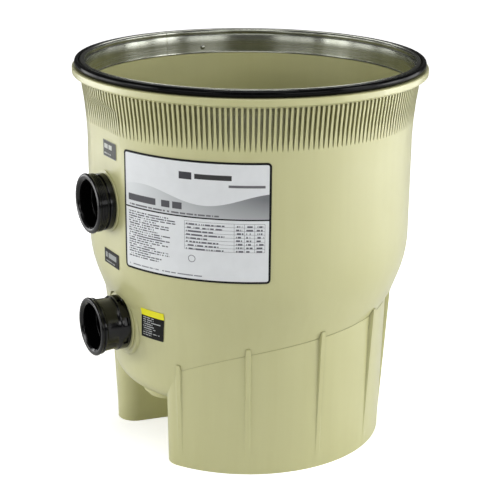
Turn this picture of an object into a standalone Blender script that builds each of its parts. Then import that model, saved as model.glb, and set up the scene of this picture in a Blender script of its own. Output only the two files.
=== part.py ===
"""Bottom tank of a four-cartridge pool filter, with its fittings and internals.

Metres, +Z up. The origin is on the tank's axis at floor level. The two pipe ports face -Y.
Azimuths are in degrees, measured from -Y towards +X.
"""

import math

import bmesh
import bpy
from mathutils import Matrix, Vector

# Tank: heights and radii of the outer surface
RIM_TOP = 0.5875
SHOULDER_Z = 0.581
FLANGE_RADIUS = 0.2675
FLANGE_FACE_BOTTOM = 0.5705
NECK = (0.2545, 0.560)
COLLAR = (0.2506, 0.530)
WAIST_RADIUS = 0.2470
WAIST_TOP = 0.480
KNUCKLE_Z = 0.297
KNUCKLE_FILLET = 0.245
SHEAR_TOP = 0.240
SHEAR_RADIUS = 0.2262
SHEAR = 0.265
TOE = (0.1733, 0.095)
TOE_FILLET = 0.030
BOTTOM_Z = 0.086
WALL = 0.006
RIDGE_INNER, RIDGE_OUTER = 0.2500, 0.2546
REBATE_RADIUS, REBATE_TOP, REBATE_BOTTOM = 0.2480, 0.5822, 0.5530
INNER_NECK_RADIUS = 0.2440
FACET = 0.2415
FACET_BOTTOM, FACET_TOP = 0.250, 0.535
TANK_SEGMENTS = 48

# Skirt under the bowl, its gussets and the drain alcove
SKIRT_FOOT_RADIUS = 0.2106
SKIRT_FLARE = 0.022
SKIRT_TOP = 0.232
GUSSET_AZIMUTHS = (33, 61, 90, 119, 148)
GUSSET_WIDTH = 0.0085
GUSSET_FOOT_Z = 0.028
GUSSET_RISE = 0.018
ALCOVE_MOUTH_HALF, ALCOVE_BACK_HALF = 0.064, 0.050
ALCOVE_MOUTH_Y, ALCOVE_BACK_Y = -0.160, -0.085
ALCOVE_CORNER = 0.027
ALCOVE_REACH = (0.150, -0.264)
ALCOVE_WALL_TOP = 0.125

# Flutes under the clamping flange
FLUTE_COUNT = 48
FLUTE_HALF_WIDTH = 0.0014
FLUTE_TOP, FLUTE_END = 0.566, 0.503
FLUTE_ROOT_TOP, FLUTE_ROOT_END = 0.2500, 0.2480

# Steel band inside the rim, and the ring seal round it
BAND_RADIUS, BAND_BOTTOM, BAND_STEP_Z = 0.2471, 0.5535, 0.5832
BEAD_IN, BEAD_OUT, BEAD_CENTRE_Z, BEAD_SKIRT_Z = 0.2489, 0.2557, 0.5880, 0.5850
BAND_THICKNESS = 0.0008
BAND_SEAM_AZIMUTH, BAND_RIVET_AZIMUTH = -86, -101
RIVET_Z = 0.563
RIVET_SHANK = 0.0015
SEAL_RADIUS, SEAL_Z, SEAL_SECTION = 0.2617, 0.5864, 0.0051

# Ports
INLET_Z, OUTLET_Z = 0.397, 0.205
MOUTH = 0.273
MOUTH_RADIUS, SOCKET_RADIUS, TAIL_RADIUS, BORE_RADIUS = 0.0422, 0.0360, 0.0335, 0.0285
INLET_SEAT, OUTLET_SEAT = FACET, 0.2212
INLET_INNER_FACE, OUTLET_INNER_FACE = 0.2290, 0.2060
INLET_TAIL, OUTLET_TAIL = 0.2055, 0.1795
WALL_HOLE_RADIUS = 0.0342
PAD_ROOT_RADIUS, PAD_FACE_RADIUS, PAD_ROOT = 0.056, 0.0505, 0.195
SPACER_RADIUS, SPACER_THICKNESS = 0.0455, 0.0020
INNER_BOSS_RADIUS = 0.049
POCKETS, POCKET_START = 8, math.radians(20)
SEAT_STEP = 0.0026  # from the seat on the tank out to the fitting's own face
SEAL_GROOVE_DEPTH = 0.0032
WASHER_RADIUS, WASHER_THICKNESS = 0.046, 0.0020
NUT_RADIUS, NUT_HEIGHT = 0.047, 0.013
GAP = 0.0003
PORT_SEGMENTS = 28
RING_SEGMENTS, RING_SIDES = 20, 5

# Drain
DRAIN_Y = -0.140
DRAIN_BOSS_RADIUS, DRAIN_BOSS_ROOT_RADIUS, DRAIN_BOSS_TOP = 0.040, 0.044, 0.100
DRAIN_FACE_Z = 0.080
DRAIN_BORE_RADIUS, PLUG_RADIUS = 0.0245, 0.0241
PLUG_TOP, PLUG_HEAD_RADIUS, PLUG_HEAD_BOTTOM = 0.0945, 0.0350, 0.0740
GRIP_BOTTOM, GRIP_TIP_RADIUS, GRIP_ROOT_RADIUS = 0.0640, 0.0150, 0.0160

# Collecting manifold, on the elbow from the outlet
ELBOW_Y, ELBOW_BEND = -0.105, 0.045
SPIGOT_TOP, SLEEVE_RADIUS = 0.290, 0.0378
MANIFOLD_BOTTOM, MANIFOLD_SPLIT, MANIFOLD_TOP, SOCKET_TOP = 0.268, 0.296, 0.318, 0.345
ARM_HALF_WIDTH, MANIFOLD_WALL = 0.040, 0.004
SOCKET_RING = 0.115
SOCKET_AZIMUTHS = (45, 135, 225, 315)
SOCKET_OUTER, SOCKET_BORE = 0.0385, 0.0330
LEG_RING, LEG_BOTTOM = 0.100, 0.0995

# Labels: azimuth range and height range on the tank
LABELS = {
    "rating_label": ((16.3, 66.4), (0.318, 0.488)),
    "inlet_label": ((-1.0, 9.0), (0.466, 0.490)),
    "outlet_label": ((-2.0, 9.5), (0.302, 0.324)),
    "notice_label": ((19.0, 29.7), (0.203, 0.251)),
}
LABEL_LIFT, LABEL_THICKNESS = 0.0005, 0.0005

# Colours: base colour, roughness, metallic
FINISHES = {
    "cream_plastic": ((0.62, 0.63, 0.40), 0.45, 0.0),
    "brushed_steel": ((0.60, 0.60, 0.56), 0.28, 1.0),
    "black_rubber": ((0.012, 0.012, 0.013), 0.40, 0.0),
    "black_plastic": ((0.015, 0.015, 0.016), 0.30, 0.0),
    "label_white": ((0.85, 0.86, 0.85), 0.40, 0.0),
    "label_grey": ((0.35, 0.35, 0.35), 0.40, 0.0),
    "label_black": ((0.03, 0.03, 0.03), 0.40, 0.0),
    "label_yellow": ((0.80, 0.75, 0.05), 0.40, 0.0),
}

WELD = 0.00001  # points nearer than this are one point
TO_PORT = Matrix.Rotation(math.radians(90), 4, "X")  # a turned shape's +Z points out along -Y
# Stands a (distance out along -Y, height) outline upright, with its extrusion along X
UPRIGHT = Matrix(((0, 0, 1, 0), (-1, 0, 0, 0), (0, 1, 0, 0), (0, 0, 0, 1)))


def start():
    for obj in list(bpy.data.objects):
        bpy.data.objects.remove(obj, do_unlink=True)
    collections = []
    for name in ("cartridge_filter_housing", "cutters"):
        collection = bpy.data.collections.new(name)
        bpy.context.scene.collection.children.link(collection)
        collections.append(collection)
    return collections


PARTS, CUTTERS = start()


def finish(name):
    found = bpy.data.materials.get(name)
    if found:
        return found
    colour, roughness, metallic = FINISHES[name]
    made = bpy.data.materials.new(name)
    made.use_nodes = True
    shader = made.node_tree.nodes["Principled BSDF"]
    shader.inputs["Base Color"].default_value = (*colour, 1)
    shader.inputs["Roughness"].default_value = roughness
    shader.inputs["Metallic"].default_value = metallic
    return made


def add(name, mesh, look=None, matrix=None):
    """A part when it has a look, and otherwise a hidden cutter."""
    obj = bpy.data.objects.new(name, mesh)
    (PARTS if look else CUTTERS).objects.link(obj)
    if matrix is not None:
        obj.matrix_world = matrix
    if look:
        mesh.materials.append(finish(look))
    else:
        obj.hide_render = True
        obj.display_type = "WIRE"
    return obj


def applied(obj):
    """Replaces the object's mesh with what its modifiers make of it."""
    bpy.context.view_layer.update()
    graph = bpy.context.evaluated_depsgraph_get()
    mesh = bpy.data.meshes.new_from_object(obj.evaluated_get(graph))
    obj.modifiers.clear()
    obj.data = mesh
    return obj


def shade(obj, angle=35):
    obj.data.shade_smooth()
    obj.data.set_sharp_from_angle(angle=math.radians(angle))
    return obj


def turned(name, profile, look=None, matrix=None, segments=TANK_SEGMENTS, loop=False):
    """Turns a profile of (radius, height) points about Z. It runs down its outer side."""
    mesh = bpy.data.meshes.new(name)
    last = len(profile)
    edges = [(i, (i + 1) % last) for i in range(last if loop else last - 1)]
    mesh.from_pydata([(r, 0, z) for r, z in profile], edges, [])
    obj = add(name, mesh, look, matrix)
    screw = obj.modifiers.new("turn", "SCREW")
    screw.steps = screw.render_steps = segments
    screw.use_merge_vertices = True
    screw.merge_threshold = WELD
    return shade(applied(obj))


def ring(name, radius, section, z, look=None, matrix=None, segments=TANK_SEGMENTS, sides=8):
    turn = 2 * math.pi / sides
    profile = [
        (radius + section * math.cos(i * turn), z - section * math.sin(i * turn))
        for i in range(sides)
    ]
    return turned(name, profile, look, matrix, segments, loop=True)


def washer(name, inner, outer, low, high, look=None, matrix=None, segments=PORT_SEGMENTS):
    profile = [(inner, high), (outer, high), (outer, low), (inner, low)]
    return turned(name, profile, look, matrix, segments, loop=True)


def cone(name, low_radius, high_radius, low, high, look=None, matrix=None, segments=PORT_SEGMENTS):
    mesh = bpy.data.meshes.new(name)
    bm = bmesh.new()
    bmesh.ops.create_cone(
        bm, cap_ends=True, segments=segments, radius1=low_radius, radius2=high_radius,
        depth=high - low, matrix=Matrix.Translation((0, 0, (low + high) / 2)),
    )
    bm.to_mesh(mesh)
    bm.free()
    return shade(add(name, mesh, look, matrix))


def box(name, low, high, matrix=None):
    mesh = bpy.data.meshes.new(name)
    size, centre = Vector(high) - Vector(low), (Vector(high) + Vector(low)) / 2
    bm = bmesh.new()
    place = Matrix.Translation(centre) @ Matrix.Diagonal((*size, 1))
    bmesh.ops.create_cube(bm, size=1, matrix=place)
    bm.to_mesh(mesh)
    bm.free()
    return add(name, mesh, None, matrix)


def mesh_of(curve, height=0.0):
    """The closed mesh that a curve draws, raised to a height."""
    drawn = bpy.data.objects.new(curve.name, curve)
    CUTTERS.objects.link(drawn)
    bpy.context.view_layer.update()
    graph = bpy.context.evaluated_depsgraph_get()
    mesh = bpy.data.meshes.new_from_object(drawn.evaluated_get(graph))
    bpy.data.objects.remove(drawn)
    bm = bmesh.new()
    bm.from_mesh(mesh)
    bmesh.ops.remove_doubles(bm, verts=bm.verts, dist=WELD)
    bmesh.ops.translate(bm, verts=bm.verts, vec=(0, 0, height))
    bmesh.ops.recalc_face_normals(bm, faces=bm.faces)
    bm.to_mesh(mesh)
    bm.free()
    return mesh


def prism(name, outline, low, high, matrix=None):
    """A flat outline, extruded from low to high along Z."""
    curve = bpy.data.curves.new(name, "CURVE")
    curve.dimensions = "2D"
    curve.fill_mode = "BOTH"
    curve.extrude = (high - low) / 2
    spline = curve.splines.new("POLY")
    spline.points.add(len(outline) - 1)
    for point, (x, y) in zip(spline.points, outline):
        point.co = (x, y, 0, 1)
    spline.use_cyclic_u = True
    return add(name, mesh_of(curve, (low + high) / 2), None, matrix)


def swept(name, radius, points):
    """A round bar along a smooth route, as a mesh."""
    curve = bpy.data.curves.new(name, "CURVE")
    curve.dimensions = "3D"
    curve.bevel_depth = radius
    curve.bevel_resolution = 5
    curve.use_fill_caps = True
    spline = curve.splines.new("POLY")
    spline.points.add(len(points) - 1)
    for point, place in zip(spline.points, points):
        point.co = (*place, 1)
    return add(name, mesh_of(curve))


def combine(target, operation, *tools):
    for tool in tools:
        boolean = target.modifiers.new(f"{operation.lower()} {tool.name}", "BOOLEAN")
        boolean.operation = operation
        boolean.object = tool
    return target


def welded(obj):
    """Applies the object's modifiers and tidies what the Booleans leave."""
    applied(obj)
    bm = bmesh.new()
    bm.from_mesh(obj.data)
    bmesh.ops.remove_doubles(bm, verts=bm.verts, dist=WELD)
    bmesh.ops.dissolve_limit(
        bm, angle_limit=math.radians(0.1), verts=bm.verts, edges=bm.edges, delimit={"NORMAL"}
    )
    bm.to_mesh(obj.data)
    bm.free()
    return obj


def join(target, *tools):
    return combine(target, "UNION", *tools)


def cut(target, *tools):
    return combine(target, "DIFFERENCE", *tools)


def rounded(corners):
    """Points of a line through (r, z) corners. A corner's third number is its fillet radius."""
    points = [tuple(corners[0][:2])]
    for before, corner, after in zip(corners, corners[1:], corners[2:]):
        middle = Vector(corner[:2])
        if len(corner) < 3:
            points.append(tuple(middle))
            continue
        back = (Vector(before[:2]) - middle).normalized()
        on = (Vector(after[:2]) - middle).normalized()
        half = back.angle(on) / 2
        centre = middle + (back + on).normalized() * corner[2] / math.sin(half)
        first = middle + back * corner[2] / math.tan(half) - centre
        turn = first.angle_signed(middle + on * corner[2] / math.tan(half) - centre)
        steps = max(2, round(abs(math.degrees(turn)) / 13))
        for i in range(steps + 1):
            points.append(tuple(centre + Matrix.Rotation(-turn * i / steps, 2) @ first))
    points.append(tuple(corners[-1][:2]))
    return points


def inset(corners, distance):
    """The same corners moved inwards by one wall thickness. Fillets change to stay parallel."""
    lines = []
    for start_point, end_point in zip(corners, corners[1:]):
        along = (Vector(end_point[:2]) - Vector(start_point[:2])).normalized()
        inward = Vector((along.y, -along.x)) * distance
        lines.append((Vector(start_point[:2]) + inward, along))
    moved = [tuple(lines[0][0])]
    for (point, along), (other, onward), corner in zip(lines, lines[1:], corners[1:]):
        across = along.x * onward.y - along.y * onward.x
        offset = other - point
        reach = (offset.x * onward.y - offset.y * onward.x) / across if abs(across) > 1e-9 else 0
        place = point + along * reach if abs(across) > 1e-9 else other
        fillet = [corner[2] - distance] if len(corner) > 2 else []
        moved.append((*place, *fillet))
    last, along = lines[-1]
    moved.append((0, last.y - along.y / along.x * last.x))
    return moved


BOWL = [
    (WAIST_RADIUS, WAIST_TOP),
    (WAIST_RADIUS, KNUCKLE_Z, KNUCKLE_FILLET),
    (SHEAR_RADIUS, SHEAR_TOP),
    (*TOE, TOE_FILLET),
    (0, BOTTOM_Z),
]
OUTER_LINE = [
    (0, RIM_TOP),
    (RIDGE_OUTER, RIM_TOP),
    (RIDGE_OUTER, SHOULDER_Z),
    (FLANGE_RADIUS - 0.001, SHOULDER_Z),
    (FLANGE_RADIUS, SHOULDER_Z - 0.001),
    (FLANGE_RADIUS, FLANGE_FACE_BOTTOM),
    NECK,
    COLLAR,
] + rounded(BOWL)


def shift(z):
    """How far the bowl's round section at this height lies towards the ports."""
    return SHEAR * max(0.0, SHEAR_TOP - z)


def round_radius(z):
    """The outer surface's radius before the bowl leans and the flat is made."""
    for (r_high, z_high), (r_low, z_low) in zip(OUTER_LINE[6:], OUTER_LINE[7:]):
        if z_low <= z <= z_high:
            return r_low + (r_high - r_low) * (z - z_low) / (z_high - z_low)
    return OUTER_LINE[6][0]


def surface_radius(azimuth, z):
    """The tank's outer radius at an azimuth and height."""
    turn = math.radians(azimuth)
    lean, radius = shift(z), round_radius(z)
    radius = lean * math.cos(turn) + math.sqrt(radius**2 - (lean * math.sin(turn)) ** 2)
    if FACET_BOTTOM < z < FACET_TOP and abs(azimuth) < 60:
        radius = min(radius, FACET / math.cos(turn))
    return radius


def at(azimuth, radius, z):
    turn = math.radians(azimuth)
    return Vector((radius * math.sin(turn), -radius * math.cos(turn), z))


def facing(azimuth):
    """Turns a shape made along -Y to an azimuth."""
    return Matrix.Rotation(math.radians(azimuth), 4, "Z")


def lean_and_flatten(obj, flat):
    """Leans the bowl towards the ports, and makes the flat that the inlet seats on."""
    for vertex in obj.data.vertices:
        place = vertex.co
        if place.z < SHEAR_TOP:
            place.y -= shift(place.z)
        elif FACET_BOTTOM < place.z < FACET_TOP:
            place.y = max(place.y, -flat)
    return obj


def tank_body():
    body = turned("tank_shell", OUTER_LINE, "cream_plastic")
    return lean_and_flatten(body, FACET)


def tank_cavity():
    inner = inset(BOWL, WALL)
    line = [
        (0, RIM_TOP + 0.03),
        (RIDGE_INNER, RIM_TOP + 0.03),
        (RIDGE_INNER, REBATE_TOP),
        (REBATE_RADIUS, REBATE_TOP),
        (REBATE_RADIUS, REBATE_BOTTOM),
        (INNER_NECK_RADIUS, REBATE_BOTTOM),
    ] + rounded(inner)
    return lean_and_flatten(turned("tank_cavity", line), FACET - WALL)


def alcove_outline(grow):
    """Plan of the drain alcove, which opens towards -Y with rounded corners."""
    corner_x = ALCOVE_MOUTH_HALF + ALCOVE_CORNER
    right = [(ALCOVE_BACK_HALF + grow, ALCOVE_BACK_Y + grow)]
    for degrees in (180, 160, 140, 120, 100, 80, 60):
        turn = math.radians(degrees)
        radius = ALCOVE_CORNER - grow
        right.append((corner_x + radius * math.cos(turn), ALCOVE_MOUTH_Y - radius * math.sin(turn)))
    right.append(ALCOVE_REACH)
    return right + [(-x, y) for x, y in reversed(right)]


def skirt():
    """The cone that the tank stands on, with the alcove walled into it."""
    foot, top = SKIRT_FOOT_RADIUS, SKIRT_FOOT_RADIUS + SKIRT_FLARE * SKIRT_TOP
    line = [(foot - WALL, 0), (top - WALL, SKIRT_TOP), (top, SKIRT_TOP), (foot, 0)]
    wall = turned("skirt", line, loop=True)
    block_top = foot + SKIRT_FLARE * ALCOVE_WALL_TOP
    within = cone("alcove_limit", foot, block_top, 0, ALCOVE_WALL_TOP, segments=TANK_SEGMENTS)
    block = prism("alcove_block", alcove_outline(WALL), -0.01, ALCOVE_WALL_TOP + 0.01)
    combine(block, "INTERSECT", within)
    space = prism("alcove_space", alcove_outline(0), -0.02, SKIRT_TOP + 0.02)
    return cut(join(wall, block), space)


def crease_height(azimuth):
    """Where the leaning bowl crosses the skirt's outer surface, found by halving."""
    low, high = 0.10, SKIRT_TOP
    for _ in range(30):
        middle = (low + high) / 2
        if surface_radius(azimuth, middle) > SKIRT_FOOT_RADIUS + SKIRT_FLARE * middle:
            high = middle
        else:
            low = middle
    return low


def gusset(number, azimuth):
    """A tapering rib up the skirt, which runs out into the bowl."""
    top = crease_height(azimuth) + GUSSET_RISE
    inside = SKIRT_FOOT_RADIUS - WALL / 2
    outline = [
        (inside, GUSSET_FOOT_Z),
        (SKIRT_FOOT_RADIUS, GUSSET_FOOT_Z),
        (surface_radius(azimuth, top) - 0.001, top),
        (inside, top),
    ]
    half = GUSSET_WIDTH / 2
    return prism(f"gusset_{number}", outline, -half, half, facing(azimuth) @ UPRIGHT)


def outlet_pad():
    """The round boss that brings a vertical face to the outlet."""
    place = along_port(OUTLET_Z)
    return cone("outlet_pad", PAD_ROOT_RADIUS, PAD_FACE_RADIUS, PAD_ROOT, OUTLET_SEAT, matrix=place)


def flutes():
    """Wedges that cut the flutes: deepest under the flange, running out downwards."""
    mesh = bpy.data.meshes.new("flutes")
    bm = bmesh.new()
    half = FLUTE_HALF_WIDTH
    section = [
        (FLUTE_ROOT_TOP, FLUTE_TOP),
        (FLUTE_ROOT_END, FLUTE_END),
        (FLUTE_ROOT_END + 0.004, FLUTE_END),
        (FLANGE_RADIUS - 0.003, FLUTE_TOP),
    ]
    for number in range(FLUTE_COUNT):
        turn = facing((number + 0.5) * 360 / FLUTE_COUNT)
        corners = [bm.verts.new((-half, -r, z)) for r, z in section]
        face = bm.faces.new(corners)
        pulled = bmesh.ops.extrude_face_region(bm, geom=[face])["geom"]
        far = [item for item in pulled if isinstance(item, bmesh.types.BMVert)]
        bmesh.ops.translate(bm, verts=far, vec=(2 * half, 0, 0))
        bmesh.ops.transform(bm, verts=corners + far, matrix=turn)
    bmesh.ops.recalc_face_normals(bm, faces=bm.faces)
    bm.to_mesh(mesh)
    bm.free()
    return add("flutes", mesh)


def along_port(height):
    """Places a shape made along Z on a port's axis, with its +Z pointing out."""
    return Matrix.Translation((0, 0, height)) @ TO_PORT


def rivet_place():
    return facing(BAND_RIVET_AZIMUTH) @ along_port(RIVET_Z)


def tank():
    body = tank_body()
    join(body, skirt(), outlet_pad())
    for number, azimuth in enumerate(GUSSET_AZIMUTHS):
        join(body, gusset(2 * number, azimuth), gusset(2 * number + 1, -azimuth))
    drain = Matrix.Translation((0, DRAIN_Y, 0))
    boss = cone("drain_boss", DRAIN_BOSS_RADIUS, DRAIN_BOSS_ROOT_RADIUS, DRAIN_FACE_Z, DRAIN_BOSS_TOP,
                matrix=drain)
    join(body, boss)
    cut(body, tank_cavity())
    seats = (
        ("inlet", INLET_Z, INLET_INNER_FACE, INLET_SEAT - 0.001),
        ("outlet", OUTLET_Z, OUTLET_INNER_FACE, OUTLET_SEAT - 0.001),
    )
    for name, height, inner, outer in seats:
        place = along_port(height)
        boss = cone(f"{name}_boss", INNER_BOSS_RADIUS, INNER_BOSS_RADIUS, inner, outer, matrix=place)
        join(body, boss)
    spot = SPACER_RADIUS + 0.002
    cut(body, cone("outlet_spot_face", spot, spot, OUTLET_SEAT, 0.26, matrix=along_port(OUTLET_Z)))
    for name, height, inner, _ in seats:
        hole = cone(f"{name}_hole", WALL_HOLE_RADIUS, WALL_HOLE_RADIUS, inner - 0.02, 0.26,
                    matrix=along_port(height))
        cut(body, hole)
    cut(body, cone("drain_hole", DRAIN_BORE_RADIUS, DRAIN_BORE_RADIUS, 0.07, 0.12, matrix=drain))
    hole = RIVET_SHANK + GAP
    cut(body, cone("rivet_pocket", hole, hole, 0.240, 0.2515, matrix=rivet_place(), segments=8))
    cut(body, flutes())
    return body


def rim_band():
    """A split steel ring: a flat wall, a small step out and a rolled bead over the rim."""
    centre, bead = (BEAD_IN + BEAD_OUT) / 2, (BEAD_OUT - BEAD_IN) / 2
    line = [(BEAD_OUT, BEAD_SKIRT_Z)]
    for i in range(4):
        turn = math.pi * i / 3
        line.append((centre + bead * math.cos(turn), BEAD_CENTRE_Z + bead * math.sin(turn)))
    line += [(BEAD_IN, BAND_STEP_Z + 0.0008), (BAND_RADIUS, BAND_STEP_Z), (BAND_RADIUS, BAND_BOTTOM)]
    band = turned("rim_band", line, "brushed_steel")
    skin = band.modifiers.new("sheet", "SOLIDIFY")
    skin.thickness = BAND_THICKNESS
    skin.offset = 0
    seam = box("band_seam", (-0.0004, -0.27, 0.54), (0.0004, -0.24, 0.60), facing(BAND_SEAM_AZIMUTH))
    hole = RIVET_SHANK + GAP
    shank = cone("band_hole", hole, hole, 0.240, 0.252, matrix=rivet_place(), segments=8)
    return cut(band, seam, shank)


def band_rivet():
    face = BAND_RADIUS - BAND_THICKNESS / 2 - 0.0006
    profile = [
        (0, 0.2510), (RIVET_SHANK, 0.2510), (RIVET_SHANK, face),
        (0.0030, face), (0.0026, face - 0.0010), (0.0014, face - 0.0016), (0, face - 0.0018),
    ]
    return turned("band_rivet", profile, "brushed_steel", rivet_place(), 8)


def bulkhead_end(seat_face, tail):
    """The rest of a fitting's profile: seal groove, threaded tail, bore and socket."""
    floor = seat_face + 0.0245 if seat_face < 0.23 else seat_face + 0.0060
    return [
        (0.0397, seat_face), (0.0397, seat_face + SEAL_GROOVE_DEPTH),
        (0.0353, seat_face + SEAL_GROOVE_DEPTH), (0.0353, seat_face),
        (TAIL_RADIUS, seat_face), (TAIL_RADIUS, tail), (BORE_RADIUS, tail),
        (BORE_RADIUS, floor), (SOCKET_RADIUS, floor), (SOCKET_RADIUS, MOUTH - 0.0005),
        (SOCKET_RADIUS + 0.0005, MOUTH),
    ]


def inlet_bulkhead():
    seat = INLET_SEAT + SEAT_STEP
    profile = [
        (MOUTH_RADIUS - 0.0006, MOUTH), (MOUTH_RADIUS, MOUTH - 0.0008),
        (MOUTH_RADIUS, MOUTH - 0.0034), (0.0413, MOUTH - 0.0036),
    ]
    profile += [
        (0.0413, MOUTH - 0.0145), (0.0386, MOUTH - 0.0150), (0.0386, MOUTH - 0.0188),
        (0.0412, MOUTH - 0.0195), (0.0412, seat),
    ]
    profile += bulkhead_end(seat, INLET_TAIL)
    place = along_port(INLET_Z)
    return turned("inlet_bulkhead", profile, "black_plastic", place, PORT_SEGMENTS, loop=True)


def outlet_bulkhead():
    seat = OUTLET_SEAT + SEAT_STEP
    drum_front = seat + 0.0134
    profile = [
        (MOUTH_RADIUS - 0.0006, MOUTH), (MOUTH_RADIUS, MOUTH - 0.0008),
        (MOUTH_RADIUS, MOUTH - 0.0025), (0.0406, MOUTH - 0.0032), (0.0406, MOUTH - 0.0042),
        (0.0417, MOUTH - 0.0050), (0.0417, MOUTH - 0.0095), (0.0399, MOUTH - 0.0105),
        (0.0386, drum_front + 0.0008), (0.0414, drum_front), (0.0414, seat),
    ]
    profile += bulkhead_end(seat, OUTLET_TAIL)
    place = along_port(OUTLET_Z)
    body = turned("outlet_bulkhead", profile, "black_plastic", place, PORT_SEGMENTS, loop=True)
    for number in range(POCKETS):
        turn = Matrix.Rotation(2 * math.pi * number / POCKETS + POCKET_START, 4, "Z")
        low, high = (-0.006, 0.0392, seat + 0.0038), (0.006, 0.0440, seat + 0.0105)
        cut(body, box(f"spanner_pocket_{number}", low, high, place @ turn))
    return body


def port_stack(name, height, seat, inner_face):
    """The pieces that clamp one fitting to the tank wall: spacer, seal, washer and lock nut."""
    place = along_port(height)
    hole = WALL_HOLE_RADIUS
    low = seat + GAP
    high = low + SPACER_THICKNESS
    spacer = washer(f"{name}_spacer", hole, SPACER_RADIUS, low, high, "cream_plastic", place)
    tab_corners = (-0.007, SPACER_RADIUS - 0.002, low), (0.007, SPACER_RADIUS + 0.0006, high)
    tab = box(f"{name}_tab", *tab_corners, place)
    join(spacer, tab)
    seal_z = seat + SEAT_STEP + SEAL_GROOVE_DEPTH / 2
    ring(f"{name}_o_ring", 0.0375, 0.0013, seal_z, "black_rubber", place, RING_SEGMENTS, RING_SIDES)
    back = inner_face - GAP
    front = back - WASHER_THICKNESS
    washer(f"{name}_washer", hole, WASHER_RADIUS, front, back, "black_rubber", place)
    nut_top = front - GAP
    nut_bottom = nut_top - NUT_HEIGHT
    nut = cone(f"{name}_lock_nut", NUT_RADIUS, NUT_RADIUS, nut_bottom, nut_top, "black_plastic", place, 8)
    cut(nut, cone(f"{name}_nut_bore", hole, hole, nut_bottom - 0.01, nut_top + 0.01, matrix=place))
    shade(nut)
    return nut_bottom


def inlet_diffuser(nut_face):
    """A slotted cap on the inlet's tail, which spreads the flow upwards and sideways."""
    end, start_face = 0.160, nut_face - GAP
    sleeve, outer = TAIL_RADIUS + GAP, 0.0375
    profile = [
        (sleeve, start_face), (outer, start_face), (outer, end + 0.003), (outer - 0.003, end),
        (0, end), (0, end + 0.0035), (BORE_RADIUS + 0.002, end + 0.0035),
        (BORE_RADIUS + 0.002, INLET_TAIL - 0.002), (sleeve, INLET_TAIL - 0.002),
    ]
    cap = turned("inlet_diffuser", profile, "black_plastic", along_port(INLET_Z), PORT_SEGMENTS, loop=True)
    for number in range(3):
        low = end + 0.007 + 0.0125 * number
        cut(cap, box(f"diffuser_slot_{number}", (-0.05, 0.004, low), (0.05, 0.05, low + 0.008),
                     along_port(INLET_Z)))
    return cap


def as_part(obj, look):
    """Makes a part of an object that began as a cutter."""
    CUTTERS.objects.unlink(obj)
    PARTS.objects.link(obj)
    obj.hide_render = False
    obj.display_type = "TEXTURED"
    obj.data.materials.append(finish(look))
    return obj


def elbow_route(from_y, to_z):
    """Straight in from the outlet, a quarter turn, and straight up."""
    centre_y, centre_z = ELBOW_Y - ELBOW_BEND, OUTLET_Z + ELBOW_BEND
    route = [(0, from_y, OUTLET_Z)]
    for i in range(7):
        turn = math.radians(90 * i / 6)
        route.append((0, centre_y + ELBOW_BEND * math.sin(turn), centre_z - ELBOW_BEND * math.cos(turn)))
    return route + [(0, ELBOW_Y, to_z)]


def outlet_elbow(nut_face):
    start_face = nut_face - GAP
    place, riser = along_port(OUTLET_Z), Matrix.Translation((0, ELBOW_Y, 0))
    elbow = as_part(swept("outlet_elbow", TAIL_RADIUS, elbow_route(-0.172, SPIGOT_TOP)), "black_plastic")
    sleeve = cone("elbow_sleeve", SLEEVE_RADIUS, SLEEVE_RADIUS, 0.158, start_face, matrix=place)
    loose = TAIL_RADIUS + GAP
    tail = cone("elbow_tail_bore", loose, loose, OUTLET_TAIL - 0.002, 0.21, matrix=place)
    groove = washer("elbow_groove", 0.0312, 0.040, 0.2810, 0.2850, matrix=riser)
    bore = swept("elbow_bore", BORE_RADIUS - 0.0005, elbow_route(-0.195, SPIGOT_TOP + 0.02))
    cut(join(elbow, sleeve), tail, bore, groove)
    shade(elbow)
    ring("elbow_o_ring", 0.0328, 0.0012, 0.2830, "black_rubber", riser, RING_SEGMENTS, RING_SIDES)
    return elbow


def arms(name, half_width, low, high):
    """Five round-ended arms from the middle: four to the sockets, one to the elbow."""
    middle = cone(name, half_width * 1.3, half_width * 1.3, low, high, segments=24)
    reaches = [(azimuth, SOCKET_RING) for azimuth in SOCKET_AZIMUTHS] + [(0, -ELBOW_Y)]
    for number, (azimuth, reach) in enumerate(reaches):
        outline = [(-half_width, 0), (-half_width, -reach)]
        for i in range(1, 8):
            turn = math.pi * i / 8
            outline.append((-half_width * math.cos(turn), -reach - half_width * math.sin(turn)))
        outline += [(half_width, -reach), (half_width, 0)]
        join(middle, prism(f"{name}_arm_{number}", outline, low, high, facing(azimuth)))
    return welded(middle)


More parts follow.
